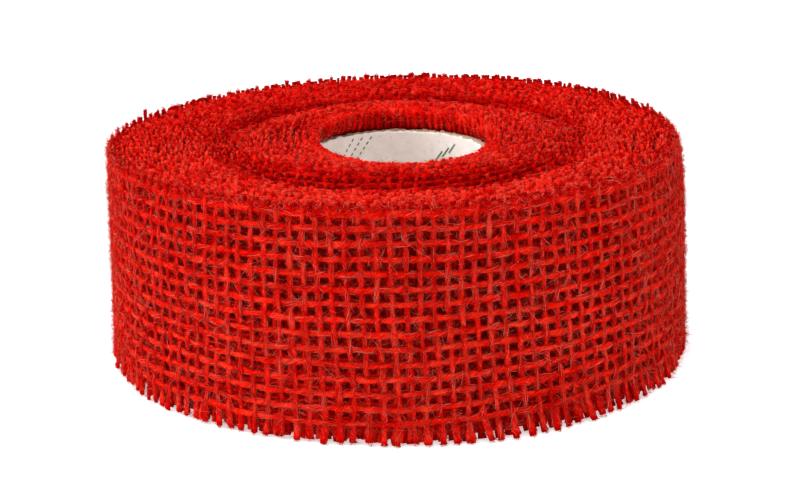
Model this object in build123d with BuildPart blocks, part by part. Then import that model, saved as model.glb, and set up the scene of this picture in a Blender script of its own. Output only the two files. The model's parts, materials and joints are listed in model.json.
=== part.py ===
from build123d import *
import math
import os

os.makedirs("parts", exist_ok=True)

# A roll of woven jute ribbon on a paper core. The roll stands on one end: its axis
# is +Z, and the origin is on that axis at the level of the ribbon's lower fringe.
# Every length is in millimetres and every angle in degrees, counter-clockwise from +X.

# Driving dimensions: the ribbon
ribbon_width = 40.0  # fringe tip to fringe tip
lower_fringe = 4.0  # from the lowest warp yarn to the fringe tips
upper_fringe = 1.9
warp_count = 15
warp_width = 1.0  # along the roll's axis
warp_thickness = 0.36  # across the ribbon's face
weft_width = 0.9
weft_thickness = 0.25
weave_height = 0.34  # how far a weft's centre line swings each side of the warps
half_turns_wound = 88  # under the last turn
turn_gap = 0.06  # air between two turns

# Driving dimensions: the roll and its core
roll_radius = 52.2  # from the axis to the outer side of the ribbon's free end
core_bore_radius = 15.2
core_radius = 17.0
core_length = 36.0
liner_thickness = 0.3
wrap_thickness = 0.3
glue_line = 0.04  # between two plies of the core
core_clearance = 0.05  # between the core and the first turn
layer_clearance = 0.15  # between the wound turns and the last turn

# Driving dimensions: the free end
tip_angle = 157.0  # where the ribbon's cut end lies
tail_segments = 4
wefts_per_segment = 7
segment_angle = 18.0
hinge_gap = 0.5  # between two segments of the tail, measured along the ribbon
tape_thickness = 0.3
tape_angle = 25.0
tape_margin = 5.0  # from each end of the core to the tape

# The last turn's two arcs. The roll is a spiral of half turns about two centres in
# turn, on the line through the cut end, and its radius grows clockwise from above.
half_thickness = weave_height + weft_thickness / 2
spiral_span = roll_radius - 2 * half_thickness - layer_clearance - core_radius - core_clearance
turn_pitch = (spiral_span + turn_gap) / (half_turns_wound / 2 + 1)
strip_thickness = turn_pitch - turn_gap
centre_offset = turn_pitch / 4
outer_arc_radius = roll_radius - half_thickness - centre_offset
inner_arc_radius = outer_arc_radius - turn_pitch / 2
weft_step = segment_angle / wefts_per_segment
warp_pitch = (ribbon_width - lower_fringe - upper_fringe) / (warp_count - 1)
tail_angle = tail_segments * segment_angle
tail_root_angle = tip_angle + tail_angle


def spiral_centre(half_turn):
    """The centre of a half turn, counted from 0 at the start of a full turn."""
    side = -1 if half_turn % 2 == 0 else 1
    direction = math.radians(tip_angle)
    return (
        side * centre_offset * math.cos(direction),
        side * centre_offset * math.sin(direction),
    )


def on_arc(half_turn, radius, angle):
    """A point at an angle on a half turn's arc."""
    x, y = spiral_centre(half_turn)
    turn = math.radians(angle)
    return (x + radius * math.cos(turn), y + radius * math.sin(turn))


def finish(piece, name):
    """Labels a finished piece and writes its STEP file."""
    piece.part.label = name
    export_step(piece.part, f"parts/{name}.step")


def tube(inner_radius, outer_radius, length):
    """A plain paper tube standing on the base plane, in the open part."""
    with BuildSketch(Plane.XY) as ring:
        Circle(outer_radius)
        Circle(inner_radius, mode=Mode.SUBTRACT)
    extrude(ring.sketch, amount=length)


# Core: four wound paper plies glued into one tube
ply_space = core_radius - core_bore_radius - liner_thickness - wrap_thickness
ply_thickness = (ply_space - 3 * glue_line) / 2
liner_outside = core_bore_radius + liner_thickness
inner_ply_inside = liner_outside + glue_line
outer_ply_inside = inner_ply_inside + ply_thickness + glue_line

with BuildPart() as core_liner:
    tube(core_bore_radius, liner_outside, core_length)
finish(core_liner, "core_liner")

with BuildPart() as core_ply_inner:
    tube(inner_ply_inside, inner_ply_inside + ply_thickness, core_length)
finish(core_ply_inner, "core_ply_inner")

with BuildPart() as core_ply_outer:
    tube(outer_ply_inside, outer_ply_inside + ply_thickness, core_length)
finish(core_ply_outer, "core_ply_outer")

with BuildPart() as core_wrap:
    tube(core_radius - wrap_thickness, core_radius, core_length)
finish(core_wrap, "core_wrap")

# Start tape: it holds the ribbon's first end on the core, in the step that the
# first turn leaves
with BuildPart() as start_tape:
    with BuildSketch(Plane.XY.offset(tape_margin)):
        with BuildLine():
            inner = CenterArc((0, 0), core_radius, tip_angle + 1, tape_angle)
            outer = CenterArc((0, 0), core_radius + tape_thickness, tip_angle + 1, tape_angle)
            Line(inner @ 0, outer @ 0)
            Line(inner @ 1, outer @ 1)
        make_face()
    extrude(amount=core_length - 2 * tape_margin)
finish(start_tape, "start_tape")

# Wound ribbon: every turn but the last, as one continuous strip
first_outer_radius = core_radius + core_clearance + strip_thickness + centre_offset
with BuildPart() as ribbon_wound:
    with BuildSketch(Plane.XY):
        with BuildLine():
            for half_turn in range(half_turns_wound):
                centre = spiral_centre(half_turn)
                radius = first_outer_radius + half_turn * turn_pitch / 2
                start = tip_angle - 180 * (half_turn % 2)
                CenterArc(centre, radius, start, -180)
                CenterArc(centre, radius - strip_thickness, start, -180)
            Line(
                on_arc(0, first_outer_radius, tip_angle),
                on_arc(0, first_outer_radius - strip_thickness, tip_angle),
            )
            Line(
                on_arc(1, radius, tip_angle),
                on_arc(1, radius - strip_thickness, tip_angle),
            )
        make_face()
    extrude(amount=ribbon_width)
finish(ribbon_wound, "ribbon_wound")


# Last turn: woven from separate yarns
def warp_height(index):
    """The height of a warp yarn's centre line, counted from the lowest."""
    return lower_fringe + index * warp_pitch


def warp_run(height, half_turn, radius, low_angle, sweep):
    """One warp yarn's stretch along an arc, in the open part."""
    turn = math.radians(low_angle)
    section = Plane(
        origin=(*on_arc(half_turn, radius, low_angle), height),
        x_dir=(math.cos(turn), math.sin(turn), 0),
        z_dir=(math.sin(turn), -math.cos(turn), 0),
    )
    with BuildSketch(section) as yarn:
        Ellipse(warp_thickness / 2, warp_width / 2)
    axis = Axis((*spiral_centre(half_turn), 0), (0, 0, 1))
    revolve(yarn.sketch, axis=axis, revolution_arc=sweep)


def weft_middle(phase):
    """A weft's centre line as (offset, height) points: over one warp, under the next."""
    points = [(0.0, 0.0)]
    for index in range(warp_count):
        points.append((0.0, warp_height(index) - warp_pitch / 2))
        swing = weave_height if (index + phase) % 2 == 0 else -weave_height
        points.append((swing, warp_height(index)))
    points.append((0.0, ribbon_width))
    return points


def weft_yarn(phase):
    """One weft yarn, standing on the base plane with its middle on the Z axis."""
    half = weft_thickness / 2
    middle = weft_middle(phase)
    with BuildPart() as yarn:
        with BuildSketch(Plane.XZ):
            with BuildLine():
                inner = Spline(*[(offset - half, height) for offset, height in middle])
                outer = Spline(*[(offset + half, height) for offset, height in middle])
                Line(inner @ 0, outer @ 0)
                Line(inner @ 1, outer @ 1)
            make_face()
        extrude(amount=weft_width / 2, both=True)
    return yarn.part


def weft_place(index):
    """Where a weft lies, counted clockwise from the start of the last turn."""
    angle = tip_angle - (index + 0.5) * weft_step
    half_turn = 0 if angle > tip_angle - 180 else 1
    radius = inner_arc_radius if half_turn == 0 else outer_arc_radius
    return Location((*on_arc(half_turn, radius, angle), 0), (0, 0, angle))


weft_pair = [weft_yarn(0), weft_yarn(1)]
weft_total = round(360 / weft_step)
tail_weft_total = tail_segments * wefts_per_segment
fixed_weft_total = weft_total - tail_weft_total

for index in range(warp_count):
    with BuildPart() as warp:
        warp_run(warp_height(index), 0, inner_arc_radius, tip_angle - 180, 180)
        warp_run(warp_height(index), 1, outer_arc_radius, tail_root_angle, 180 - tail_angle)
    finish(warp, f"warp_{index + 1:02d}")

for phase, name in enumerate(("wefts_odd", "wefts_even")):
    with BuildPart() as wefts:
        with Locations(*[weft_place(index) for index in range(phase, fixed_weft_total, 2)]):
            add(weft_pair[phase])
    finish(wefts, name)

# Free end: the last stretch of the last turn, in hinged segments
gap_angle = math.degrees(hinge_gap / 2 / outer_arc_radius)
for segment in range(tail_segments):
    high_angle = tail_root_angle - segment * segment_angle
    low_angle = high_angle - segment_angle
    with BuildPart() as tail_warps:
        for index in range(warp_count):
            warp_run(
                warp_height(index),
                1,
                outer_arc_radius,
                low_angle + gap_angle,
                segment_angle - 2 * gap_angle,
            )
    finish(tail_warps, f"tail_{segment + 1}_warps")

    first_weft = fixed_weft_total + segment * wefts_per_segment
    with BuildPart() as tail_wefts:
        for index in range(first_weft, first_weft + wefts_per_segment):
            with Locations(weft_place(index)):
                add(weft_pair[index % 2])
    finish(tail_wefts, f"tail_{segment + 1}_wefts")

    hinge = on_arc(1, outer_arc_radius, high_angle)
    print(f"tail_{segment + 1} hinge: x {hinge[0]:.4f}, y {hinge[1]:.4f}")

wound_length = sum(
    math.pi * (first_outer_radius - strip_thickness / 2 + half_turn * turn_pitch / 2)
    for half_turn in range(half_turns_wound)
)
last_length = math.pi * (inner_arc_radius + outer_arc_radius)
print(f"turn pitch {turn_pitch:.4f}, ribbon length {wound_length + last_length:.0f}")
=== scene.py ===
import json
import math

import bpy
import numpy as np
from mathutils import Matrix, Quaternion, Vector


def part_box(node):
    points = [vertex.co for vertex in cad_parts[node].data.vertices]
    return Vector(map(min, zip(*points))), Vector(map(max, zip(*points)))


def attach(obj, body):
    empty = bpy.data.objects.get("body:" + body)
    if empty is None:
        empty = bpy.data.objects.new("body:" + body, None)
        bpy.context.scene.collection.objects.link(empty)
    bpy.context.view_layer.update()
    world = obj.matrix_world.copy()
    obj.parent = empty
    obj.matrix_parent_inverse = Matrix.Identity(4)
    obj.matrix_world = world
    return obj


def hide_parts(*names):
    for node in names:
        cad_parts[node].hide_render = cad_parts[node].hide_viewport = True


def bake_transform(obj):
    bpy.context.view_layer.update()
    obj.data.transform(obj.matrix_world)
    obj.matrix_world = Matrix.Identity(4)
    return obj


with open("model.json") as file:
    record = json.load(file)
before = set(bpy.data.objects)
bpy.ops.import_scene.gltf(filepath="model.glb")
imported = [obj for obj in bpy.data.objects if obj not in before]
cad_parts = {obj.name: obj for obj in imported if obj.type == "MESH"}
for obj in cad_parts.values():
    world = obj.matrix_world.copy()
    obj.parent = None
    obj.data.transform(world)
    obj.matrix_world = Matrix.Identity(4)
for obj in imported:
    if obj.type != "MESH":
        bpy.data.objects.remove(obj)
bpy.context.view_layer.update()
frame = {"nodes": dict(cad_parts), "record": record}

# A roll of open-weave jute ribbon, built yarn by yarn. Lengths below are in
# millimetres and angles in degrees, and MM takes them to the frame's metres.
MM = 0.001

# ---- Sizes, as the part has them ----
RIBBON_WIDTH = 40.0
LOWER_FRINGE, UPPER_FRINGE = 4.0, 1.9
WARPS = 15
WARP_PITCH = (RIBBON_WIDTH - LOWER_FRINGE - UPPER_FRINGE) / (WARPS - 1)
TIP_ANGLE = 157.0
TAIL_SEGMENTS, SEGMENT_ANGLE, SEGMENT_WEFTS = 4, 18.0, 7
WEFT_STEP = SEGMENT_ANGLE / SEGMENT_WEFTS
LAST_WEFTS = round(360 / WEFT_STEP)
TURN_PITCH = 0.7584
OUTER_ARC = 51.545
INNER_ARC = OUTER_ARC - TURN_PITCH / 2
CENTRE_OFFSET = TURN_PITCH / 4
TURNS_BELOW = 44
WEFT_PITCH = 2.33
TAIL_ROOT = 360 - TAIL_SEGMENTS * SEGMENT_ANGLE

# ---- Sizes of the looks ----
WARP_HALF = (0.49, 0.21)  # half width and half thickness of a warp yarn
WEFT_HALF = (0.39, 0.20)
WARP_SWING, WEFT_SWING = 0.11, 0.16
FLARE = 0.9  # how far the roll's foot stands out
# How far the upper edge leans in on one side, and how quickly up the ribbon's height.
SHOULDER, SHOULDER_ANGLE, SHOULDER_SPREAD = 1.4, 5.0, 45.0
SHOULDER_POWER, SHOULDER_LIMIT = 8, 1.02
# How much taller the ribbon stands beside that, as a share of its height.
SLIP, SLIP_ANGLE, SLIP_SPREAD = 0.022, 55.0, 50.0
OPEN_SPACING = 0.5  # between two samples along a yarn of the last turn
FLOOR_GAP = 0.08
FIBRE_REACH = 6  # samples along a fibre that lies on a yarn
LAST_ARCS = 4  # pieces that the last turn is split in, before its free end
BEND_REACH = 3 * WEFT_STEP  # how far a hinge's bend reaches to each side
UP = np.array([0.0, 0.0, 1.0])


# ---- Smooth noise ----
class Waves:
    """A sum of sine waves over two coordinates, the same on every run."""

    def __init__(self, seed, wavelengths, heights):
        draw = np.random.default_rng(seed)
        self.terms = []
        for wavelength, height in zip(wavelengths, heights):
            for _ in range(3):
                turn = draw.uniform(0, 2 * math.pi)
                k = 2 * math.pi / wavelength * draw.uniform(0.75, 1.3)
                wave = (k * math.cos(turn), k * math.sin(turn), draw.uniform(0, 6.28))
                self.terms.append((*wave, height / math.sqrt(3)))

    def __call__(self, x, y=0.0):
        return sum(h * np.sin(kx * x + ky * y + shift) for kx, ky, shift, h in self.terms)


# ---- The roll's shape ----
# How far the upper end rises at some radii, and how far it also tilts there, which
# is upwards at the tilt's angle and downwards on the other side.
TOP_RADII = (17.5, 19.0, 21.0, 24.5, 27.5, 30.0, 34.0, 44.0, 50.0, 53.0)
TOP_RISES = (-0.7, -0.1, 0.3, 0.4, 0.2, -0.15, -0.05, 0.1, -0.1, -0.35)
TILT_RADII = (17.5, 21.0, 24.5, 28.0, 33.0, 50.0)
TILTS = (1.2, 1.0, 0.0, -0.6, 0.55, 0.3)
TILT_ANGLE = 110.0
RIM_DROP, RIM_RADII = 0.5, (45, 50)  # how the far rim falls off
# The hollow round the collar: its mean radius, how far it lies off the roll's
# centre, its half width at the back, how much wider it is at the front, and its depth.
HOLLOW_RADIUS, HOLLOW_SHIFT, HOLLOW_WIDTH, HOLLOW_WIDER, HOLLOW_DEPTH = 31.8, 2.6, 1.9, 1.9, 3.2
HOLLOW_AT_SIDES = 0.15  # share of that depth on the left and the right
turn_slip = Waves(3, (9.0, 5.0), (0.15, 0.1))
side_dent = Waves(4, (70.0, 30.0), (0.16, 0.08))


def hollow(radius, angle, spread=1.0):
    """How deep the hollow round the collar is at a place."""
    off_centre = HOLLOW_SHIFT * np.cos(np.radians(angle - TILT_ANGLE))
    front = np.clip(-np.sin(np.radians(angle)), 0, 1)
    beside = (radius + off_centre - HOLLOW_RADIUS) / (HOLLOW_WIDTH + HOLLOW_WIDER * front) / spread
    front_and_back = np.sin(np.radians(angle)) ** 2
    deep = HOLLOW_DEPTH * (HOLLOW_AT_SIDES + (1 - HOLLOW_AT_SIDES) * front_and_back)
    return deep * np.exp(-beside**4)


def rise(radius, angle):
    """How far the turns at a radius stand above the outermost one."""
    profile = np.interp(radius, TOP_RADII, TOP_RISES) - hollow(radius, angle)
    tilt = np.interp(radius, TILT_RADII, TILTS) * np.cos(np.radians(angle - TILT_ANGLE))
    rim_drop = RIM_DROP * np.interp(radius, RIM_RADII, (0, 1)) * np.clip(np.sin(np.radians(angle)), 0, 1)
    return profile + tilt - rim_drop + turn_slip(radius * 3, angle * 0.1)


def bulge(angle, centre, spread):
    """A smooth bulge on one side of the roll, 1 at the centre angle."""
    return np.exp(-((((angle - centre + 180) % 360 - 180) / spread) ** 2))


def on_roll(clockwise, offset, height):
    """Points on the spiral and the outward direction there.

    clockwise is the angle from the start of the last turn, negative on the turns
    below, offset is the distance outside the ribbon's middle."""
    half_turn = np.floor(clockwise / 180)
    side = np.where(half_turn % 2 == 0, -1.0, 1.0) * CENTRE_OFFSET
    tip = math.radians(TIP_ANGLE)
    angle = np.radians(TIP_ANGLE - clockwise)
    foot = FLARE * (1 - np.clip(height / RIBBON_WIDTH, 0, 1))
    lean = SHOULDER * np.clip(height / RIBBON_WIDTH, 0, SHOULDER_LIMIT) ** SHOULDER_POWER
    lean = lean * bulge(TIP_ANGLE - clockwise, SHOULDER_ANGLE, SHOULDER_SPREAD)
    base = INNER_ARC + half_turn * TURN_PITCH / 2
    share = (base / OUTER_ARC) ** 3  # the turns below take part in this less and less
    radius = base + offset + (foot - lean + side_dent(clockwise, height)) * share
    height = height * (1 + SLIP * share * bulge(TIP_ANGLE - clockwise, SLIP_ANGLE, SLIP_SPREAD))
    x = side * math.cos(tip) + radius * np.cos(angle)
    y = side * math.sin(tip) + radius * np.sin(angle)
    outward = np.stack([np.cos(angle), np.sin(angle), np.zeros_like(angle)], -1)
    return np.stack([x, y, height], -1), outward


def unit(vectors):
    return vectors / np.linalg.norm(vectors, axis=-1, keepdims=True)


def new_object(name, data):
    made = bpy.data.objects.new(name, data)
    bpy.context.scene.collection.objects.link(made)
    return made


def plain_object(name, points, faces, material):
    """An object with one material, from points in metres."""
    mesh = bpy.data.meshes.new(name)
    mesh.from_pydata(points, [], faces)
    mesh.materials.append(material)
    return new_object(name, mesh)


# ---- Meshes of many strands ----
class Strands:
    """Collects closed tubes and makes them one mesh."""

    STRAND_SHIFT = 7.31  # between the texture coordinates of two strands

    def __init__(self):
        self.points, self.corners, self.sizes = [], [], []
        self.uvs, self.tones, self.slots, self.smooth = [], [], [], []
        self.count = 0

    def add(self, centre, across, half_width, half_thick, sides, tone, slot=0, uneven=0.0):
        """Tubes along centre, an array of (strand, sample, xyz) in millimetres."""
        strands, samples, _ = centre.shape
        tangent = unit(np.gradient(centre, axis=1))
        across = unit(across - tangent * np.sum(across * tangent, -1, keepdims=True))
        lift = np.cross(tangent, across)
        turn = 2 * math.pi * np.arange(sides) / sides
        half_width = np.broadcast_to(half_width, (strands, samples))[..., None, None]
        half_thick = np.broadcast_to(half_thick, (strands, samples))[..., None, None]
        section = (
            across[:, :, None, :] * np.cos(turn)[:, None] * half_width
            + lift[:, :, None, :] * np.sin(turn)[:, None] * half_thick
        )
        if uneven:
            bumps = np.random.default_rng(samples + strands).normal(0, 1, (strands, samples, sides))
            bumps = bumps + 0.8 * np.roll(np.roll(bumps, 1, axis=1), 1, axis=2)
            section = section * (1 + uneven * np.clip(bumps, -2, 2))[..., None]
        ring = centre[:, :, None, :] + section
        self.points.append(ring.reshape(-1, 3))
        tone = np.broadcast_to(tone, (strands, samples))[..., None]
        self.tones.append(np.broadcast_to(tone, (strands, samples, sides)).reshape(-1))

        index = self.count + np.arange(strands * samples * sides).reshape(strands, samples, sides)
        beside = np.roll(index, -1, axis=2)
        quads = np.stack([index[:, :-1], beside[:, :-1], beside[:, 1:], index[:, 1:]], -1).reshape(-1, 4)
        step = np.linalg.norm(np.diff(centre, axis=1), axis=-1)
        along = np.concatenate([np.zeros((strands, 1)), np.cumsum(step, axis=1)], axis=1)
        along = along + np.arange(strands)[:, None] * self.STRAND_SHIFT
        u = np.broadcast_to(along[:, :, None], (strands, samples, sides))
        v = np.broadcast_to(np.arange(sides) / sides, (strands, samples, sides))
        v_next = v + 1 / sides
        quad_u = np.stack([u[:, :-1], u[:, :-1], u[:, 1:], u[:, 1:]], -1).reshape(-1)
        quad_v = np.stack([v[:, :-1], v_next[:, :-1], v_next[:, 1:], v[:, 1:]], -1).reshape(-1)
        starts = index[:, 0, ::-1].reshape(-1)
        ends = index[:, -1, :].reshape(-1)
        self.corners += [quads.reshape(-1), starts, ends]
        self.sizes += [np.full(len(quads), 4), np.full(2 * strands, sides)]
        self.uvs += [
            np.stack([quad_u, quad_v], -1),
            np.stack([u[:, 0].reshape(-1), v[:, 0].reshape(-1)], -1),
            np.stack([u[:, -1].reshape(-1), v[:, -1].reshape(-1)], -1),
        ]
        self.slots.append(np.full(len(quads) + 2 * strands, slot))
        self.smooth += [np.ones(len(quads), bool), np.zeros(2 * strands, bool)]
        self.count += strands * samples * sides

    def make(self, name, materials):
        corners = np.concatenate(self.corners)
        sizes = np.concatenate(self.sizes)
        mesh = bpy.data.meshes.new(name)
        mesh.vertices.add(self.count)
        mesh.vertices.foreach_set("co", (np.concatenate(self.points) * MM).ravel())
        mesh.loops.add(len(corners))
        mesh.loops.foreach_set("vertex_index", corners)
        mesh.polygons.add(len(sizes))
        starts = np.concatenate([[0], np.cumsum(sizes)[:-1]])
        mesh.polygons.foreach_set("loop_start", starts)
        mesh.polygons.foreach_set("loop_total", sizes)
        mesh.polygons.foreach_set("material_index", np.concatenate(self.slots))
        mesh.polygons.foreach_set("use_smooth", np.concatenate(self.smooth))
        uv = mesh.uv_layers.new(name="yarn")
        uv.data.foreach_set("uv", np.concatenate(self.uvs).ravel())
        tone = mesh.attributes.new("tone", "FLOAT", "POINT")
        tone.data.foreach_set("value", np.concatenate(self.tones).astype(np.float32))
        mesh.update(calc_edges=True)
        mesh.validate()
        for material in materials:
            mesh.materials.append(material)
        return new_object(name, mesh)


# ---- Materials ----
def feed(tree, socket, value):
    """Sets a shader node's input to a value or links it to a socket."""
    if isinstance(value, bpy.types.NodeSocket):
        tree.links.new(value, socket)
    else:
        socket.default_value = value


def node(tree, kind, **inputs):
    """A shader node with its named inputs set to values or linked to sockets."""
    made = tree.nodes.new(kind)
    for key, value in inputs.items():
        feed(tree, made.inputs[key.replace("_", " ")], value)
    return made


def noise(tree, vector, scale, **inputs):
    return node(tree, "ShaderNodeTexNoise", Vector=vector, Scale=scale, **inputs)


def ramp(tree, factor, stops):
    """A colour ramp: stops are (position, colour)."""
    made = tree.nodes.new("ShaderNodeValToRGB")
    tree.links.new(factor, made.inputs["Fac"])
    while len(made.color_ramp.elements) < len(stops):
        made.color_ramp.elements.new(0.5)
    for element, (position, colour) in zip(made.color_ramp.elements, stops):
        element.position, element.color = position, (*colour, 1)
    return made.outputs["Color"]


def mix(tree, factor, first, colour):
    """A mix of a linked colour and a plain one."""
    made = tree.nodes.new("ShaderNodeMix")
    made.data_type = "RGBA"
    for index, value in ((0, factor), (6, first), (7, (*colour, 1))):
        feed(tree, made.inputs[index], value)
    return made.outputs[2]


def math_node(tree, operation, *values):
    made = tree.nodes.new("ShaderNodeMath")
    made.operation = operation
    for socket, value in zip(made.inputs, values):
        feed(tree, socket, value)
    return made.outputs[0]


def new_material(name, roughness):
    material = bpy.data.materials.new(name)
    material.use_nodes = True
    tree = material.node_tree
    shader = tree.nodes["Principled BSDF"]
    shader.inputs["Roughness"].default_value = roughness
    return material, tree, shader


# Jute: how much its streaks, its grain and its uneven dye count, their scales, and
# how far the streaks twist round the yarn in each millimetre.
STREAK, GRAIN, BLOTCH = 1.3, 0.9, 0.7
STREAK_SCALE, GRAIN_SCALE, BLOTCH_SCALE = (0.45, 1.7, 1.7), (2.1, 3.0, 3.0), 420.0
TWIST = 0.3
JUTE_ROUGHNESS, ROUGHNESS_RANGE, JUTE_SPECULAR = 0.85, 0.12, 0.015
RELIEF_GRAIN, RELIEF_DEPTH = 0.7, 0.2


def jute(name, deep, body, bright):
    """Dyed jute: streaks that twist along the yarn, fine grain and uneven dye."""
    material, tree, shader = new_material(name, JUTE_ROUGHNESS)
    uv = node(tree, "ShaderNodeUVMap")
    uv.uv_map = "yarn"
    split = node(tree, "ShaderNodeSeparateXYZ", Vector=uv.outputs["UV"])
    twist = math_node(tree, "MULTIPLY_ADD", split.outputs["X"], TWIST, split.outputs["Y"])
    turn = math_node(tree, "MULTIPLY", twist, 2 * math.pi)
    cosine, sine = math_node(tree, "COSINE", turn), math_node(tree, "SINE", turn)
    around = node(tree, "ShaderNodeCombineXYZ", X=split.outputs["X"], Y=cosine, Z=sine)
    stretch = node(tree, "ShaderNodeMapping", Vector=around.outputs[0], Scale=STREAK_SCALE)
    fibres = noise(tree, stretch.outputs[0], 1.0, Detail=4.0, Roughness=0.62)
    fine = node(tree, "ShaderNodeMapping", Vector=around.outputs[0], Scale=GRAIN_SCALE)
    grain = noise(tree, fine.outputs[0], 1.0, Detail=3.0, Roughness=0.6)
    place = node(tree, "ShaderNodeTexCoord")
    blotch = noise(tree, place.outputs["Object"], BLOTCH_SCALE, Detail=3.0)
    tone = node(tree, "ShaderNodeAttribute")
    tone.attribute_name = "tone"
    streaked = math_node(tree, "MULTIPLY_ADD", fibres.outputs["Fac"], STREAK, tone.outputs["Fac"])
    grained = math_node(tree, "MULTIPLY_ADD", grain.outputs["Fac"], GRAIN, streaked)
    uneven = math_node(tree, "MULTIPLY_ADD", blotch.outputs["Fac"], BLOTCH, grained)
    low = 0.5 * (STREAK + GRAIN + BLOTCH) - 0.5
    shade = node(tree, "ShaderNodeMapRange", Value=uneven, From_Min=low, From_Max=low + 1)
    colour = ramp(tree, shade.outputs[0], ((0.2, deep), (0.52, body), (0.86, bright)))
    tree.links.new(colour, shader.inputs["Base Color"])
    low, high = JUTE_ROUGHNESS - ROUGHNESS_RANGE, JUTE_ROUGHNESS + ROUGHNESS_RANGE
    rough = node(tree, "ShaderNodeMapRange", Value=fibres.outputs["Fac"], To_Min=low, To_Max=high)
    tree.links.new(rough.outputs[0], shader.inputs["Roughness"])
    relief = math_node(tree, "MULTIPLY_ADD", grain.outputs["Fac"], RELIEF_GRAIN, fibres.outputs["Fac"])
    relief = node(tree, "ShaderNodeBump", Height=relief, Strength=1.0, Distance=RELIEF_DEPTH * MM)
    tree.links.new(relief.outputs[0], shader.inputs["Normal"])
    shader.inputs["Specular IOR Level"].default_value = JUTE_SPECULAR
    return material


PULP_SHADE = 0.86  # how dark the darker parts of the pulp are
FLECK_FINENESS = 3.1  # how much finer the flecks are than the pulp
FLECK_RANGE = (0.62, 0.72)  # the noise values between which a fleck sets in


def paper(name, base, fleck, scale, roughness=0.9, bump_height=0.05):
    """Uncoated paper or board: mottled pulp with darker flecks."""
    material, tree, shader = new_material(name, roughness)
    place = node(tree, "ShaderNodeTexCoord")
    pulp = noise(tree, place.outputs["Object"], scale, Detail=6.0, Roughness=0.7)
    flecks = noise(tree, place.outputs["Object"], scale * FLECK_FINENESS, Detail=2.0)
    shaded = tuple(c * PULP_SHADE for c in base)
    mottled = ramp(tree, pulp.outputs["Fac"], ((0.3, shaded), (0.7, base)))
    low, high = FLECK_RANGE
    specks = node(tree, "ShaderNodeMapRange", Value=flecks.outputs["Fac"], From_Min=low, From_Max=high)
    specked = mix(tree, specks.outputs[0], mottled, fleck)
    tree.links.new(specked, shader.inputs["Base Color"])
    height = bump_height * MM
    relief = node(tree, "ShaderNodeBump", Height=pulp.outputs["Fac"], Strength=0.5, Distance=height)
    tree.links.new(relief.outputs[0], shader.inputs["Normal"])
    shader.inputs["Specular IOR Level"].default_value = 0.3
    return material


DEEP, BODY, BRIGHT = (0.44, 0.0002, 0.0001), (0.83, 0.005, 0.0008), (0.96, 0.052, 0.020)
warp_red = jute("jute_warp", DEEP, BODY, BRIGHT)
weft_red = jute("jute_weft", DEEP, (0.74, 0.003, 0.0008), (0.92, 0.055, 0.026))
# A darker copy of the jute, as painted shade, for the turns under the last one and the crown's edge rows,
# which lie in shade.
inner_red_painted_shade = jute("jute_inner_painted_shade", (0.30, 0.0004, 0.0003), (0.68, 0.0018, 0.0009), (0.88, 0.025, 0.015))
end_red = jute("jute_ends", (0.36, 0.0004, 0.0002), (0.80, 0.003, 0.001), (0.95, 0.045, 0.022))
hair_red = jute("jute_hair", (0.75, 0.002, 0.001), (0.95, 0.012, 0.006), (0.98, 0.14, 0.09))
hair_pale = jute("jute_hair_pale", (0.95, 0.06, 0.035), (0.97, 0.17, 0.115), (0.98, 0.40, 0.30))
# A painted shadow red for the solid that stands for the roll's inner turns.
heart_painted_shadow = paper("jute_shadow", (0.46, 0.001, 0.0006), (0.6, 0.002, 0.001), 900.0)
liner_white = paper("liner_paper", (0.85, 0.775, 0.725), (0.70, 0.6, 0.54), 420.0)
greyboard = paper("greyboard", (0.42, 0.35, 0.28), (0.25, 0.19, 0.14), 900.0, bump_height=0.12)
kraft = paper("kraft_paper", (0.45, 0.29, 0.18), (0.3, 0.18, 0.1), 700.0, bump_height=0.1)
tape_film = paper("tape_film", (0.75, 0.68, 0.5), (0.7, 0.6, 0.45), 200.0, roughness=0.45)
print_green = paper("print_green", (0.08, 0.20, 0.11), (0.16, 0.28, 0.19), 900.0)


# ---- The weave ----
drift_along = Waves(21, (38.0, 16.0), (0.3, 0.07))
drift_up = Waves(22, (60.0, 24.0), (0.3, 0.08))
yarn_swell = Waves(23, (12.0, 4.2, 1.9), (0.14, 0.13, 0.1))
yarn_bend = Waves(24, (14.0, 6.0), (0.11, 0.05))
LEAN, LEAN_ANGLE = 0.06, 20.0  # how much the wefts lean, and where they lean most
EDGE_MARGIN, EDGE_CALM = 0.5, 4  # how near the edges the warps' drift dies out
YARN_UNEVEN = 0.09
CUT_END, CUT_SHADE = 0.7, 0.6  # how much of a cut end is darker, and by how much
FRINGE_SPLAY, SPLAY_ANGLE, SPLAY_SPREAD = 0.9, -62.0, 32  # where the lower fringe stands out
FRINGE_STRAY = 0.24  # how unevenly the fringe's ends lean to their sides
FRINGE_SWELL = 0.45  # how much thicker the fringe gets as its yarns open
WEFT_FADE = 1.1  # how fast a weft's swing dies out past the last warp
RED_HAIR, PALE_HAIR = 2, 3  # the material slots of the hairs on every piece
# How far inside the ribbon's width the wefts end, and how unevenly.
LOWER_END, UPPER_END = (0.1, 0.3), (0.4, 0.16)
DYE_DRIFT = 0.25  # how much the colour changes along a yarn


def woven_point(clockwise, height, offset, seed):
    """A point of the weave after its yarns have drifted from an even grid."""
    arc = np.radians(clockwise) * OUTER_ARC
    lean = LEAN * np.cos(np.radians(TIP_ANGLE - clockwise + LEAN_ANGLE)) * (height - RIBBON_WIDTH / 2)
    inside = np.minimum(height - EDGE_MARGIN, RIBBON_WIDTH - EDGE_MARGIN - height)
    edge = np.clip(inside / EDGE_CALM, 0, 1)
    along = lean + drift_along(arc + seed * 91, height)
    up = drift_up(arc + seed * 57, height * 0.8) * edge
    return on_roll(clockwise + np.degrees(along / OUTER_ARC), offset, height + up)


def weave_wave(row):
    """The weft's swing at a row number: over one warp, under the next."""
    inside = np.clip(row, 0, WARPS - 1)
    return np.cos(math.pi * inside) * np.exp(-WEFT_FADE * np.abs(row - inside))


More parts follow.
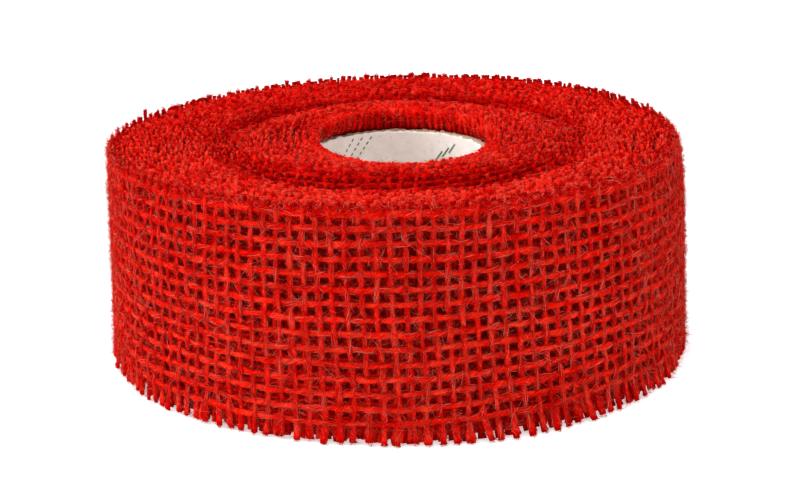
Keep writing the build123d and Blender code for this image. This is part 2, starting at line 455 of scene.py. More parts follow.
def weave(piece, start, end, wefts, turn, sides, spacing, materials=(0, 1), spike=0.0):
    """Adds the woven ribbon between two clockwise angles of a turn.

    wefts is the number of wefts in a full turn, turn is 0 on the last one and
    counts down below it. Returns the warps and the wefts, each as their centre
    lines, the directions across them and their half widths and thicknesses."""
    step = 360 / wefts
    draw = np.random.default_rng(100 + turn * 10 + int(start))
    shift = turn * 360.0
    # Warps
    samples = max(4, int(math.radians(end - start) * OUTER_ARC / spacing) + 1)
    clockwise = np.linspace(start, end, samples)[None, :] + shift
    rows = np.arange(WARPS)[:, None]
    height = LOWER_FRINGE + rows * WARP_PITCH + 0 * clockwise
    arc = np.radians(clockwise) * OUTER_ARC
    jitter = yarn_bend(arc + rows * 37, rows * 11.0)
    swing = -WARP_SWING * (1 - 2 * (rows % 2)) * np.cos(math.pi * (clockwise / step - 0.5))
    centre, _ = woven_point(clockwise, height + jitter, swing, turn)
    swell = 1 + yarn_swell(arc + rows * 53, rows * 7.0)
    across = np.broadcast_to(UP, centre.shape)
    tone = DYE_DRIFT * yarn_swell(arc * 0.5, rows * 29.0) + np.sin(rows * 12.9) * 0.06
    warps = (centre, across, WARP_HALF[0] * swell, WARP_HALF[1] * (0.8 + 0.2 * swell))
    piece.add(*warps, sides, tone, materials[0], YARN_UNEVEN)
    # Wefts
    first, last = math.ceil(start / step - 0.499), math.floor(end / step - 0.501)
    numbers = np.arange(first, last + 1)[:, None]
    count = len(numbers)
    samples = int(RIBBON_WIDTH / spacing) + 1
    low = FLOOR_GAP + LOWER_END[0] + np.abs(draw.normal(0, LOWER_END[1], (count, 1)))
    high = RIBBON_WIDTH - UPPER_END[0] + draw.normal(0, UPPER_END[1], (count, 1))
    high[-1] += spike
    height = low + (high - low) * np.linspace(0, 1, samples)[None, :]
    row = (height - LOWER_FRINGE) / WARP_PITCH
    swing = WEFT_SWING * (1 - 2 * (numbers % 2)) * weave_wave(row)
    loose = np.clip(-row, 0, 2) + np.clip(row - WARPS + 1, 0, 2)
    splay = FRINGE_SPLAY * bulge(TIP_ANGLE - numbers * step, SPLAY_ANGLE, SPLAY_SPREAD)
    swing = swing + loose * draw.normal(0.05, 0.16, (count, 1)) + splay * np.clip(-row, 0, 2) ** 1.5
    stray = np.where(row < 0, loose, 0.5 * loose)
    wander = yarn_bend(numbers * 41.0, height) + stray * draw.normal(0, FRINGE_STRAY, (count, 1))
    clockwise = (numbers + 0.5) * step + shift + np.degrees(wander / OUTER_ARC)
    centre, outward = woven_point(clockwise, height, swing, turn)
    across = np.cross(outward, UP)
    swell = 1 + 0.9 * yarn_swell(numbers * 17.0, height * 1.3) + draw.normal(0, 0.08, (count, 1))
    tip = 1 + FRINGE_SWELL * np.clip(loose, 0, 1.2)
    cut_end = np.clip(1 - (height - low) / CUT_END, 0, 1) + np.clip(1 - (high - height) / CUT_END, 0, 1)
    tone = DYE_DRIFT * yarn_swell(numbers * 23.0, height) + draw.normal(0, 0.07, (count, 1))
    tone = tone - CUT_SHADE * cut_end
    yarns = (centre, across, WEFT_HALF[0] * swell * tip, WEFT_HALF[1] * (0.8 + 0.2 * swell) * tip)
    piece.add(*yarns, sides, tone, materials[1], YARN_UNEVEN)
    return warps, yarns


def hairs(piece, roots, heading, length, half, curl, draw, pale_share, samples,
          outward=None, lift=0.0, shade=0.0):
    """Fine fibres that start at roots and bend on their way."""
    count = len(roots)
    sideways = unit(np.cross(heading, draw.normal(0, 1, (count, 3))))
    other = unit(np.cross(heading, sideways))
    t = np.linspace(0, 1, samples)[None, :, None]
    bend = curl * draw.normal(0, 1, (count, 1, 1)) * length[:, None, None]
    hook = curl * draw.normal(0, 0.6, (count, 1, 1)) * length[:, None, None]
    path = (
        roots[:, None, :]
        + heading[:, None, :] * length[:, None, None] * t
        + sideways[:, None, :] * bend * t**2
        + other[:, None, :] * hook * np.sin(t * 4.5) * t
    )
    if outward is not None:
        path = path + outward[:, None, :] * lift[:, None, None] * np.sin(math.pi * np.clip(t * 1.1, 0, 1))
    path[..., 2] = np.maximum(path[..., 2], FLOOR_GAP)
    taper = 1 - 0.55 * np.linspace(0, 1, samples)[None, :] ** 2
    across = np.broadcast_to(sideways[:, None, :], path.shape)
    half = half[:, None] * taper
    pale = draw.random(count) < pale_share
    # shade adds a painted shade to the tone, which crown() gives in the hollow and on the far side.
    tone = draw.normal(0.0, 0.12, (count, 1)) + np.reshape(shade, (-1, 1))
    for chosen, slot in ((~pale, RED_HAIR), (pale, PALE_HAIR)):
        if chosen.any():
            piece.add(path[chosen], across[chosen], half[chosen], half[chosen] * 0.8, 3, tone[chosen], slot)


def side_hairs(piece, start, end, turn_count, seed):
    """Long loose hairs on the ribbon's outer face between two clockwise angles."""
    draw = np.random.default_rng(seed)
    count = int(turn_count * (end - start) / 360)
    clockwise = draw.uniform(start, end, count)
    height = draw.uniform(1.0, RIBBON_WIDTH - 0.8, count)
    length = draw.gamma(2.2, 0.62, count) + 0.6
    roots, outward = on_roll(clockwise, draw.uniform(0.05, 0.42, count), height)
    tangent = np.cross(outward, UP)
    turn = draw.uniform(0, 2 * math.pi, count)
    along = draw.random(count) < 0.4
    turn = np.where(along, draw.normal(0, 0.35, count) + math.pi * (draw.random(count) < 0.5), turn)
    out = np.abs(draw.normal(0, 0.22, count)) + 0.02
    heading = unit(tangent * np.cos(turn)[:, None] + UP * np.sin(turn)[:, None] + outward * out[:, None])
    reach = (heading * length[:, None])[:, 2] + roots[:, 2]
    length = np.where((reach < 0.5) | (reach > RIBBON_WIDTH + 0.5), length * 0.3, length)
    half = draw.uniform(0.016, 0.032, count)
    lift = draw.uniform(0.0, 0.4, count)
    hairs(piece, roots, heading, length, half, 0.34, draw, 0.36, 5, outward, lift)


def outward_face(centre, along, side):
    """The direction square to a yarn and to its side that points out of the roll."""
    face = np.cross(side, along)
    return face * np.sign(np.sum(face * centre * (1 - UP), -1, keepdims=True) + 1e-9)


def yarn_fuzz(piece, centre, across, half_width, _half_thick, density, seed):
    """Short fibres that stand off the yarns, most of them over the holes beside."""
    draw = np.random.default_rng(seed)
    strands, samples, _ = centre.shape
    step = np.linalg.norm(np.diff(centre, axis=1), axis=-1)
    count = int(step.sum() * density)
    strand = draw.integers(0, strands, count)
    sample = draw.integers(0, samples - 1, count)
    part = draw.random((count, 1))
    middle = centre[strand, sample] * (1 - part) + centre[strand, sample + 1] * part
    along = unit(centre[strand, sample + 1] - centre[strand, sample])
    side = across[strand, sample]
    face = outward_face(middle, along, side)
    wide = half_width[strand, sample][:, None]
    turn = draw.uniform(-0.3, math.pi + 0.3, (count, 1))
    stand = side * np.cos(turn) + face * np.sin(turn) * 0.75
    sign = np.where(draw.random((count, 1)) < 0.5, -1.0, 1.0)
    heading = unit(along * sign * draw.uniform(0.1, 1.4, (count, 1)) + stand)
    roots = middle + stand * wide * 0.8
    length = draw.gamma(3.0, 0.2, count) + 0.2
    length = np.where(roots[:, 2] + heading[:, 2] * length < 0.2, 0.15, length)
    thick = draw.uniform(0.022, 0.052, count)
    hairs(piece, roots, heading, length, thick, 0.35, draw, 0.12, 3)


def yarn_fibres(piece, centre, across, half_width, half_thick, density, seed):
    """Fibres that wind along the outer side of the yarns and lift off at their ends."""
    draw = np.random.default_rng(seed)
    strands, samples, _ = centre.shape
    step = np.linalg.norm(np.diff(centre, axis=1), axis=-1)
    count = int(step.sum() * density)
    strand = draw.integers(0, strands, (count, 1))
    first = draw.integers(0, samples - FIBRE_REACH, (count, 1))
    picks = first + np.arange(FIBRE_REACH)[None, :]
    middle = centre[strand, picks]
    along = unit(np.gradient(middle, axis=1))
    side = across[strand, picks]
    face = outward_face(middle, along, side)
    t = np.linspace(0, 1, FIBRE_REACH)[None, :]
    turn = draw.uniform(0.1, math.pi - 0.1, (count, 1)) + (t - 0.5) * draw.normal(0.9, 0.7, (count, 1))
    to_ends = np.abs(2 * t - 1) ** 3
    lift = 1.02 + draw.uniform(0.0, 0.12, (count, 1)) + draw.uniform(0, 0.7, (count, 1)) * to_ends
    path = (
        middle
        + side * (np.cos(turn) * half_width[strand, picks] * lift)[..., None]
        + face * (np.sin(turn) * half_thick[strand, picks] * lift)[..., None]
    )
    path[..., 2] = np.maximum(path[..., 2], FLOOR_GAP)
    half = draw.uniform(0.024, 0.05, (count, 1)) * (1 - 0.6 * to_ends)
    pale = draw.random(count) < 0.33
    for chosen, slot in ((~pale, RED_HAIR), (pale, PALE_HAIR)):
        tone = draw.normal(-0.12, 0.28, (int(chosen.sum()), 1))
        piece.add(path[chosen], side[chosen], half[chosen], half[chosen], 3, tone, slot)


PIECE_MATERIALS = (warp_red, weft_red, hair_red, hair_pale)
SIDE_HAIRS = 11000  # in a full turn
FUZZ, LOWER_FUZZ, FIBRES = 4.8, 0.7, 1.7  # in a millimetre of yarn
TIP_SPIKE = 1.0  # how far the weft beside the cut end stands above the others


def last_turn_piece(name, start, end, bodies, hinge, seed):
    """One stretch of the last turn, woven and hairy, riding on its one body or else baked in place."""
    is_tip = end == 360.0
    cloth = Strands()
    warps, wefts = weave(cloth, start, end, LAST_WEFTS, 0, 8, OPEN_SPACING, spike=TIP_SPIKE * is_tip)
    piece = cloth.make(name, PIECE_MATERIALS)
    loose, close = Strands(), Strands()
    side_hairs(close, start, end, SIDE_HAIRS, seed)
    fringe_hairs(loose, wefts[0], seed + 1)
    for yarns, number in ((warps, 2), (wefts, 3)):
        yarn_fuzz(loose, *yarns, FUZZ, seed + number)
        yarn_fibres(close, *yarns, FIBRES, seed + number)
    if is_tip:
        frayed_end(loose, warps[0], seed + 4)
    hair_pieces = [
        loose.make(name + "_hairs", PIECE_MATERIALS),
        close.make(name + "_fibres", PIECE_MATERIALS),
    ]
    for item in (piece, *hair_pieces):
        if len(bodies) == 1:
            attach(item, bodies[0])
        else:
            before, _ = on_roll(np.array(hinge - BEND_REACH), 0.0, np.array(RIBBON_WIDTH / 2))
            after, _ = on_roll(np.array(hinge + BEND_REACH), 0.0, np.array(RIBBON_WIDTH / 2))
            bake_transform(item)
    return piece


LOWER_SPLIT, UPPER_SPLIT = 34, 26  # fibres at each cut end of a weft


def fringe_hairs(piece, centre, seed):
    """Split fibres at both cut ends of each weft, and the fluff between them."""
    draw = np.random.default_rng(seed)
    samples = centre.shape[1]
    for bottom, number in ((True, LOWER_SPLIT), (False, UPPER_SPLIT)):
        span = LOWER_FRINGE if bottom else UPPER_FRINGE
        reach = int(samples * span / RIBBON_WIDTH)
        count = centre.shape[0] * number
        weft = np.repeat(np.arange(centre.shape[0]), number)
        back = (reach * draw.random(count) ** 1.6).astype(int)
        at = back if bottom else samples - 1 - back
        sign = -1.0 if bottom else 1.0
        above, below = np.minimum(at + 1, samples - 1), np.maximum(at - 1, 0)
        shaft = unit(centre[weft, above] - centre[weft, below]) * sign
        heading = unit(shaft + draw.normal(0, 0.5 if bottom else 0.9, (count, 3)))
        roots = centre[weft, at] + draw.normal(0, 0.2, (count, 3))
        roots[:, 2] = np.maximum(roots[:, 2], 0.3)
        length = draw.gamma(3.0, 0.24, count) + 0.3
        low_reach = roots[:, 2] + heading[:, 2] * length
        length = np.where(low_reach < 0.12, length * 0.4, length)
        length = np.where(low_reach > RIBBON_WIDTH + 0.5, length * 0.4, length)
        half = draw.uniform(0.026, 0.06, count)
        hairs(piece, roots, heading, length, half, 0.3, draw, 0.2, 4)


def frayed_end(piece, centre, seed):
    """The fibres that the warps end in where the ribbon was cut."""
    draw = np.random.default_rng(seed)
    number = 9
    tips = np.repeat(centre[:, -1], number, axis=0)
    along = np.repeat(unit(centre[:, -1] - centre[:, -3]), number, axis=0)
    heading = unit(along + draw.normal(0, 0.3, tips.shape))
    roots = tips - along * draw.uniform(0.1, 0.8, (len(tips), 1)) + draw.normal(0, 0.15, tips.shape)
    length = draw.gamma(2.5, 0.45, len(tips)) + 0.4
    half = draw.uniform(0.04, 0.09, len(tips))
    hairs(piece, roots, heading, length, half, 0.3, draw, 0.15, 5)


tail_start = TAIL_ROOT - 4 * WEFT_STEP
for arc in range(LAST_ARCS):
    arc_ends = [WEFT_STEP * round(tail_start / WEFT_STEP * k / LAST_ARCS) for k in (arc, arc + 1)]
    last_turn_piece(f"ribbon_last_turn_{arc + 1}", *arc_ends, ["roll"], 0, 300 + arc * 10)
for segment in range(TAIL_SEGMENTS):
    hinge = TAIL_ROOT + segment * SEGMENT_ANGLE
    finish_angle = 360.0 if segment == TAIL_SEGMENTS - 1 else hinge + 3 * WEFT_STEP
    bodies = ["roll" if segment == 0 else f"tail_{segment}", f"tail_{segment + 1}"]
    tail_name = f"ribbon_tail_{segment + 1}"
    tail = last_turn_piece(tail_name, tail_start, finish_angle, bodies, hinge, 400 + segment * 10)
    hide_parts(f"tail_{segment + 1}_warps", f"tail_{segment + 1}_wefts")
    tail_start = finish_angle

# ---- The turns below ----
# How many wefts the two turns under the last have, and the spacing of their samples.
UNDER_WEFTS, UNDER_SPACING = 137, 0.9
DEEP_WEFTS, DEEP_SPACING = 135, 1.2
under, under_fuzz = Strands(), Strands()
under_yarns = weave(under, 0.0, 360.0, UNDER_WEFTS, -1, 5, UNDER_SPACING, (0, 0))
second_turn = under.make("ribbon_second_turn", (inner_red_painted_shade,))
for number, yarns in enumerate(under_yarns):
    yarn_fuzz(under_fuzz, *yarns, LOWER_FUZZ, 40 + number)
second_fuzz = under_fuzz.make("ribbon_second_turn_hairs", (inner_red_painted_shade, inner_red_painted_shade, hair_red, hair_pale))
deep = Strands()
weave(deep, 0.0, 360.0, DEEP_WEFTS, -2, 4, DEEP_SPACING, (0, 0))
third_turn = deep.make("ribbon_third_turn", (inner_red_painted_shade,))
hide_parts("ribbon_wound", "wefts_odd", "wefts_even")
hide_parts(*[f"warp_{number:02d}" for number in range(1, WARPS + 1)])
for piece in (second_turn, second_fuzz, third_turn):
    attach(piece, "roll")

crown_lean = Waves(31, (14.0, 6.0), (0.14, 0.1))
crown_lean_b = Waves(32, (14.0, 6.0), (0.14, 0.1))
# How far the innermost turns lean in over the core: at least, more at an angle, and
# the share of that on the right. The lean sets in above the core's end, and it ends
# at a radius.
LEAST_LEAN, CORE_LEAN, CORE_LEAN_ANGLE, CORE_LEAN_RIGHT = 0.25, 3.8, 185.0, 0.2
LEAN_ONSET, LEAN_RADIUS, LEAN_FADE = 0.9, 23, 5
core_wrap_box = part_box("core_wrap")
CORE_TOP = core_wrap_box[1][2] / MM
CORE_RADIUS = core_wrap_box[1][0] / MM
CORE_BORE = frame["record"]["mounts"][0]["dims"]["r_mm"]
# Each pair below is a value for the turns next to the core, then one for the others:
# how far a cut end reaches down from the edge warp, how much lighter its tip is than its
# foot (partly as cut jute is, partly painted shade on the foot down between the turns),
# how unevenly the ends are coloured, half an end's width, and how far down its wisps
# start. CORE_EDGE is the radii between which the one passes into the other.
CORE_EDGE = (19.2, 20.2)
END_REACH, END_TIP_PALE_FOOT_SHADED, END_UNEVEN = (2.6, 1.4), (0.1, 0.35), (0.05, 0.1)
END_HALF_WIDE, WISP_DEPTH = (0.46, 0.37), (2.8, 0.6)
END_HALF_THICK = 0.17
# How much darker the hollow and the far side are painted, a painted shade where shade
# falls, and how much wider than itself the hollow darkens the ends.
HOLLOW_PAINTED_SHADE, FAR_HOLLOW_PAINTED_SHADE, FAR_PAINTED_SHADE, PAINTED_SHADE_SPREAD = 0.22, 0.08, 0.12, 1.35
FOOT_RISE = 0.7  # the share of the upper end's rises that the lower end has


def over_core(radius, angle, height):
    """How far the turns at a radius lean in over the end of the core."""
    left = np.clip(np.cos(np.radians(angle - CORE_LEAN_ANGLE)), 0, 1)
    right = np.clip(np.cos(np.radians(angle)), 0, 1)
    clear = 1 - np.exp(-np.clip(height - CORE_TOP, 0, 4) / LEAN_ONSET)
    near = np.clip((LEAN_RADIUS - radius) / LEAN_FADE, 0, 1)
    return (LEAST_LEAN + CORE_LEAN * (left + CORE_LEAN_RIGHT * right)) * clear * near


def edge_rise(radius, angle, top):
    """How far a turn's edge rises on the upper or the lower end."""
    lifted = rise(radius, angle)
    return lifted if top else np.maximum(lifted, 0) * FOOT_RISE


def by_core(radius, pair):
    """The first value of a pair for the turns next to the core, the second for others."""
    return np.interp(radius, CORE_EDGE, pair)


def crown(name, turns, top, brush, wisps, density=1.0):
    """The edge rows and cut weft ends of the turns below, on one end of the roll.

    brush and wisps are the numbers of fibres at each cut end, density is how many times
    closer than on the last turn the cut ends stand."""
    draw = np.random.default_rng(500 + turns[0] * 2 + top)
    ends, fluff = Strands(), Strands()
    sign = 1.0 if top else -1.0
    edge_height = LOWER_FRINGE + (WARPS - 1) * WARP_PITCH if top else LOWER_FRINGE
    tip_height = RIBBON_WIDTH - 0.6 if top else 0.35
    for turn in turns:
        radius = INNER_ARC - turn * TURN_PITCH
        wefts = 2 * math.pi * radius / WEFT_PITCH * density
        number = int(wefts)
        samples = max(40, int(2 * math.pi * radius / 1.5))
        clockwise = np.linspace(-0.5, 360.5, samples)[None, :] - turn * 360
        lifted = edge_rise(radius, TIP_ANGLE - clockwise, top)
        wobble = 0.2 * yarn_swell(np.radians(clockwise) * radius, turn * 13.0)
        height = edge_height + lifted + wobble
        inward = top * over_core(radius, TIP_ANGLE - clockwise, height)
        centre, _ = on_roll(clockwise, -inward, height)
        across = np.broadcast_to(UP, centre.shape)
        swell = 1 + yarn_swell(clockwise * 0.7, turn * 7.0)
        ends.add(centre, across, WARP_HALF[0] * swell, WARP_HALF[1], 5, -0.1, 0)
        # Cut ends
        at = (np.arange(number) + draw.uniform(0, 1)) * 360 / wefts
        at = at + draw.normal(0, 0.12, number) * 360 / wefts
        clockwise = at[:, None] - turn * 360
        angle = TIP_ANGLE - clockwise
        steps = np.linspace(0, 1, 5)[None, :]
        flat_x, flat_y = radius * np.cos(np.radians(angle)), radius * np.sin(np.radians(angle))
        lifted = edge_rise(radius, angle, top)
        tip = tip_height + lifted + draw.normal(0, 0.15, (number, 1))
        if not top:
            tip = np.maximum(tip, 0.25)
        base = edge_height + lifted - sign * by_core(radius, END_REACH)
        height = base + (tip - base) * steps
        free = np.clip((height - edge_height - lifted) * sign, 0, 3)
        side = (1 - 2 * (np.arange(number)[:, None] % 2)) * WEFT_SWING
        out = side + free * (crown_lean(flat_x, flat_y) + draw.normal(0, 0.12, (number, 1)))
        out = out - top * over_core(radius, angle, height)
        slide = free * (crown_lean_b(flat_x, flat_y) + draw.normal(0, 0.2, (number, 1)))
        centre, outward = on_roll(clockwise + np.degrees(slide / radius), out, height)
        across = np.cross(outward, UP)
        size = (1 + draw.normal(0, 0.13, (number, 1))) * (0.85 + 0.25 * steps)
        # Lighter towards the tip, partly as cut jute is, partly painted shade on the foot between the
        # turns.
        tip_pale_foot_shaded = by_core(radius, END_TIP_PALE_FOOT_SHADED) * (steps - 0.7)
        # Painted shade: the ends are darker in the hollow round the collar and towards the far side.
        far = np.sin(np.radians(angle)) * np.clip((radius - 26) / 4, 0, 1)
        hollow_painted_shade = (HOLLOW_PAINTED_SHADE + FAR_HOLLOW_PAINTED_SHADE * far) * hollow(radius, angle, PAINTED_SHADE_SPREAD)
        painted_shade = -top * (hollow_painted_shade + FAR_PAINTED_SHADE * far)
        tone = draw.normal(-0.03, by_core(radius, END_UNEVEN), (number, 1)) + tip_pale_foot_shaded + painted_shade
        wide = by_core(radius, END_HALF_WIDE)
        ends.add(centre, across, wide * size, END_HALF_THICK * size, 5, tone, 1, 0.08)
        # The fibres at each tip take on its painted shade too.
        tangent, beside, shade = across[:, -1], outward[:, -1], painted_shade[:, -1]
        # Split fibres that end level with the tips, then wisps that lie across them
        tips = np.repeat(centre[:, -1], brush, axis=0)
        shaft = np.repeat(unit(centre[:, -1] - centre[:, -2]), brush, axis=0)
        back = draw.uniform(0.45, 0.95, (len(tips), 1))
        spread = np.repeat(tangent, brush, axis=0)
        heading = shaft + spread * draw.normal(0, 0.6, (len(tips), 1))
        heading = unit(heading + draw.normal(0, 0.2, tips.shape))
        roots = tips - shaft * back + spread * draw.normal(0, 0.2, (len(tips), 1))
        length = back[:, 0] * draw.uniform(0.7, 1.2, len(tips))
        half = draw.uniform(0.04, 0.08, len(tips))
        hairs(fluff, roots, heading, length, half, 0.25, draw, 0.03, 3,
              shade=np.repeat(shade, brush))
        if wisps:
            tips = np.repeat(centre[:, -1], wisps, axis=0)
            shaft = np.repeat(unit(centre[:, -1] - centre[:, -2]), wisps, axis=0)
            way = np.where(draw.random((len(tips), 1)) < 0.5, -1.0, 1.0)
            sideways = draw.normal(0, 0.45, (len(tips), 1))
            flat = np.repeat(tangent, wisps, axis=0) * way + np.repeat(beside, wisps, axis=0) * sideways
            flat = flat + draw.normal(0, 0.2, tips.shape)
            depth = draw.uniform(0.0, by_core(radius, WISP_DEPTH), (len(tips), 1))
            roots = tips - shaft * depth + draw.normal(0, 0.17, tips.shape)
            length = draw.gamma(4.0, 0.14, len(tips)) + 0.2
            half = draw.uniform(0.022, 0.042, len(tips))
            hairs(fluff, roots, unit(flat), length, half, 0.35, draw, 0.3, 3,
                  shade=np.repeat(shade, wisps))
    materials = (inner_red_painted_shade, end_red, hair_red, hair_pale)
    for item in (ends.make(name, materials), fluff.make(name + "_hairs", materials)):
        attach(item, "roll")


# Turns are counted inwards, from 1 under the last one.
crown("crown_core_turns", range(42, TURNS_BELOW + 1), True, 3, 24, 3.2)
crown("crown_collar_turns", range(34, 42), True, 4, 10, 1.3)
crown("crown_inner_turns", range(24, 34), True, 3, 9, 1.25)
crown("crown_middle_turns", range(12, 24), True, 3, 6, 1.2)
crown("crown_outer_turns", range(1, 12), True, 3, 5, 1.15)
crown("foot_inner_turns", range(20, TURNS_BELOW + 1), False, 1, 0)
crown("foot_outer_turns", range(1, 20), False, 2, 1)


# ---- The dark depth of the roll, a solid coloured in a painted shadow red ----
def ring_grid(name, points, material):
    """A closed ring from a grid of points: round the roll, then round its section."""
    around, section = points.shape[:2]
    index = np.arange(around * section).reshape(around, section)
    beside, above = np.roll(index, -1, axis=0), np.roll(index, -1, axis=1)
    corner = np.roll(beside, -1, axis=1)
    faces = np.stack([index, beside, corner, above], -1).reshape(-1, 4)
    piece = plain_object(name, (points.reshape(-1, 3) * MM).tolist(), faces.tolist(), material)
    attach(piece, "roll")
    return piece


CORE_GAP = 1.2  # between the core and the depth
# How far the depth's foot stands above the floor, its top under the edge warps, and
# its outer radius at the top.
HEART_FOOT, HEART_DEPTH, HEART_RADIUS = 0.5, 1.3, 48.6
heart_turn = np.linspace(0, 2 * math.pi, 360, endpoint=False)[:, None]
heart_radius = np.linspace(HEART_RADIUS, CORE_RADIUS + CORE_GAP, 44)[None, :]
heart_top = LOWER_FRINGE + (WARPS - 1) * WARP_PITCH - HEART_DEPTH
heart_top = heart_top + rise(heart_radius, np.degrees(heart_turn))
foot_radii, foot_heights = (CORE_RADIUS + CORE_GAP, 50.3, 49.7, 49.0), (HEART_FOOT, HEART_FOOT, 7.0, 20.0)
heart_radius = np.concatenate([np.array([foot_radii]), heart_radius], 1) + 0 * heart_turn
heart_height = np.concatenate([np.array([foot_heights]) + 0 * heart_turn, heart_top], 1)
heart_points = (heart_radius * np.cos(heart_turn), heart_radius * np.sin(heart_turn), heart_height)
heart = ring_grid("ribbon_inner_turns", np.stack(heart_points, -1), heart_painted_shadow)

# ---- The paper core ----
for name, material in (
    ("core_liner", liner_white),
    ("core_ply_inner", greyboard),
    ("core_ply_outer", greyboard),
    ("core_wrap", kraft),
    ("start_tape", tape_film),
):
    item = frame["nodes"][name]
    item.data.materials.clear()
    item.data.materials.append(material)


def torn_lip(name, radius, thickness, heights, seed, material):
    """The torn upper edge of a paper ply of the core: a thin ring of uneven height.

    heights is how far its lowest and its highest parts stand above the core's end."""
    segments = 420
    draw = np.random.default_rng(seed)
    torn = np.abs(draw.normal(0, 1, segments))
    for shift in (1, 2):
        torn = (torn + np.roll(torn, shift)) / 2
    top = CORE_TOP + heights[0] + (heights[1] - heights[0]) * np.clip(torn - 0.3, 0, 1.2)
    turn = np.linspace(0, 2 * math.pi, segments, endpoint=False)
    waver = 0.05 * np.sin(turn * 31 + seed) + 0.04 * np.sin(turn * 67)
    base = np.full(segments, CORE_TOP - 0.25)
    profile = (
        (radius - thickness / 2, base), (radius + thickness / 2, base),
        (radius + thickness / 2 + waver, top), (radius - thickness / 2 + waver, top - 0.04),
    )
    rings = [np.stack([r * np.cos(turn), r * np.sin(turn), z], -1) for r, z in profile]
    ring_grid(name, np.stack(rings, 1), material)


torn_lip("core_liner_lip", CORE_BORE + 0.15, 0.14, (0.0, 0.4), 61, liner_white)
torn_lip("core_board_lip", CORE_BORE + 0.9, 0.5, (0.0, 0.12), 62, greyboard)
torn_lip("core_wrap_lip", CORE_RADIUS - 0.15, 0.16, (0.0, 0.35), 63, kraft)


MARKS_DOWN = 3.5  # from the core's end to the middle of the dashes
MARK_SLANT = math.radians(-52)  # in radians, as BARS_ANGLE and BAR_TURN are
MARK_GROUPS, MARKS_ANGLE = 3, 124
MARK_LAYERS = (0.012, 0.03)  # how far a mark's two faces stand in from the liner
DASH, DASH_PITCH, DASH_ROW = (0.9, 0.36), 1.15, 1.5
DASH_HIGHEST = MARKS_DOWN - 0.7
BAR, BARS_ANGLE, BAR_TURN = (3.5, 0.45), math.radians(-77), 0.1
BAR_DOWN, BAR_STEP = 2.4, 0.9


def liner_marks():
    """Plain green dashes and bars printed on the liner, in slanted rows."""
    points, faces = [], []

    def mark(angle, height, length, width):
        start = len(points)
        for layer in MARK_LAYERS:
            for side in range(4):
                turn = 2 * math.pi * (side + 0.5) / 4
                u, v = length / 2 * math.cos(turn), width / 2 * math.sin(turn)
                along = u * math.cos(MARK_SLANT) - v * math.sin(MARK_SLANT)
                up = u * math.sin(MARK_SLANT) + v * math.cos(MARK_SLANT)
                place = angle + along / CORE_BORE
                r = CORE_BORE - layer
                points.append((r * math.cos(place) * MM, r * math.sin(place) * MM, (height + up) * MM))
        near, far = list(range(start, start + 4)), list(range(start + 4, start + 8))
        faces.append(near[::-1])
        faces.append(far)
        for side in range(4):
            other = (side + 1) % 4
            faces.append([near[side], near[other], far[other], far[side]])

    for group in range(MARK_GROUPS):
        centre = math.radians(MARKS_ANGLE + group * 360 / MARK_GROUPS)
        for row in range(3):
            for column in range(9):
                along = (column - 4) * DASH_PITCH
                across_row = (row - 1) * DASH_ROW
                u = along * math.cos(MARK_SLANT) - across_row * math.sin(MARK_SLANT)
                v = along * math.sin(MARK_SLANT) + across_row * math.cos(MARK_SLANT)
                if v <= DASH_HIGHEST:
                    mark(centre + u / CORE_BORE, CORE_TOP - MARKS_DOWN + v, *DASH)
        for column in range(3):
            angle = centre + (BARS_ANGLE + column * BAR_TURN)
            mark(angle, CORE_TOP - BAR_DOWN - column * BAR_STEP, *BAR)
    marks = plain_object("core_liner_print", points, faces, print_green)
    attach(marks, "roll")


liner_marks()


# ---- Stage, light and camera ----
STAGE_COLOUR, STAGE_GLOW, WORLD_STRENGTH = (0.7, 0.7, 0.7, 1), 0.55, 0.78


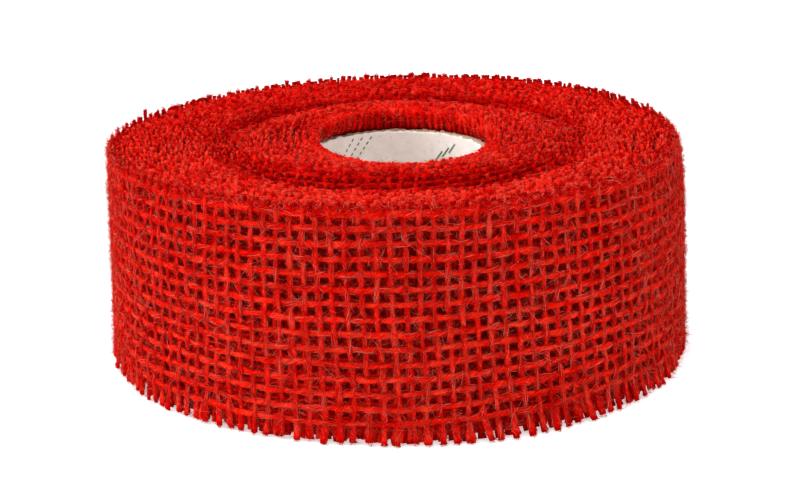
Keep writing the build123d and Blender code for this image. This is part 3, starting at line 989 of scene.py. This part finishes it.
def stage_floor():
    """A pale floor that sweeps up behind the object."""
    width, front, depth, height, bend = 3.0, -2.0, 1.2, 1.6, 0.5
    profile = [(front, 0.0), (depth - bend, 0.0)]
    for step in range(1, 13):
        turn = math.pi / 2 * step / 12
        profile.append((depth - bend + bend * math.sin(turn), bend - bend * math.cos(turn)))
    profile.append((depth, height))
    points = [(x, y, z) for y, z in profile for x in (-width, width)]
    faces = [(2 * i, 2 * i + 1, 2 * i + 3, 2 * i + 2) for i in range(len(profile) - 1)]
    material, _, shader = new_material("stage_white", 0.9)
    shader.inputs["Base Color"].default_value = STAGE_COLOUR
    shader.inputs["Specular IOR Level"].default_value = 0.1
    shader.inputs["Emission Color"].default_value = (1, 1, 1, 1)
    shader.inputs["Emission Strength"].default_value = STAGE_GLOW
    floor = plain_object("stage_floor", points, faces, material)
    floor.data.polygons.foreach_set("use_smooth", np.ones(len(faces), bool))


def softbox(name, place, aim, size, power):
    light = bpy.data.lights.new(name, "AREA")
    light.shape, light.size, light.energy = "SQUARE", size, power
    lamp = new_object(name, light)
    lamp.location = place
    lamp.rotation_euler = (Vector(aim) - Vector(place)).to_track_quat("-Z", "Y").to_euler()


stage_floor()
world = bpy.data.worlds.new("studio")
world.use_nodes = True
world.node_tree.nodes["Background"].inputs["Color"].default_value = (1, 1, 1, 1)
world.node_tree.nodes["Background"].inputs["Strength"].default_value = WORLD_STRENGTH
bpy.context.scene.world = world
AIM = (0.0, 0.0, 0.02)
softbox("key", (-0.9, -0.08, 0.42), AIM, 0.45, 6.0)
softbox("fill", (0.85, -0.15, 0.3), AIM, 0.5, 1.3)
softbox("top", (-0.15, -0.05, 0.8), AIM, 0.5, 5.0)
bpy.context.scene.view_settings.view_transform = "Standard"

CAMERA_DISTANCE, CAMERA_TILT, CAMERA_ROLL = 345.4, 16.44, -1.15
CAMERA_AIM = Vector((0.23, 0.0, 17.9)) * MM
CAMERA_LENS = 84.1
tilt = math.radians(CAMERA_TILT)
back = Vector((0, -math.cos(tilt), math.sin(tilt)))
lens = bpy.data.cameras.new("camera")
lens.lens, lens.sensor_width = CAMERA_LENS, 36.0
lens.clip_start, lens.clip_end = 0.01, 20.0
camera = new_object("camera", lens)
camera.location = CAMERA_AIM + back * CAMERA_DISTANCE * MM
camera.rotation_mode = "QUATERNION"
roll = Quaternion((0, 0, 1), math.radians(CAMERA_ROLL))
camera.rotation_quaternion = (-back).to_track_quat("-Z", "Y") @ roll
bpy.context.scene.camera = camera
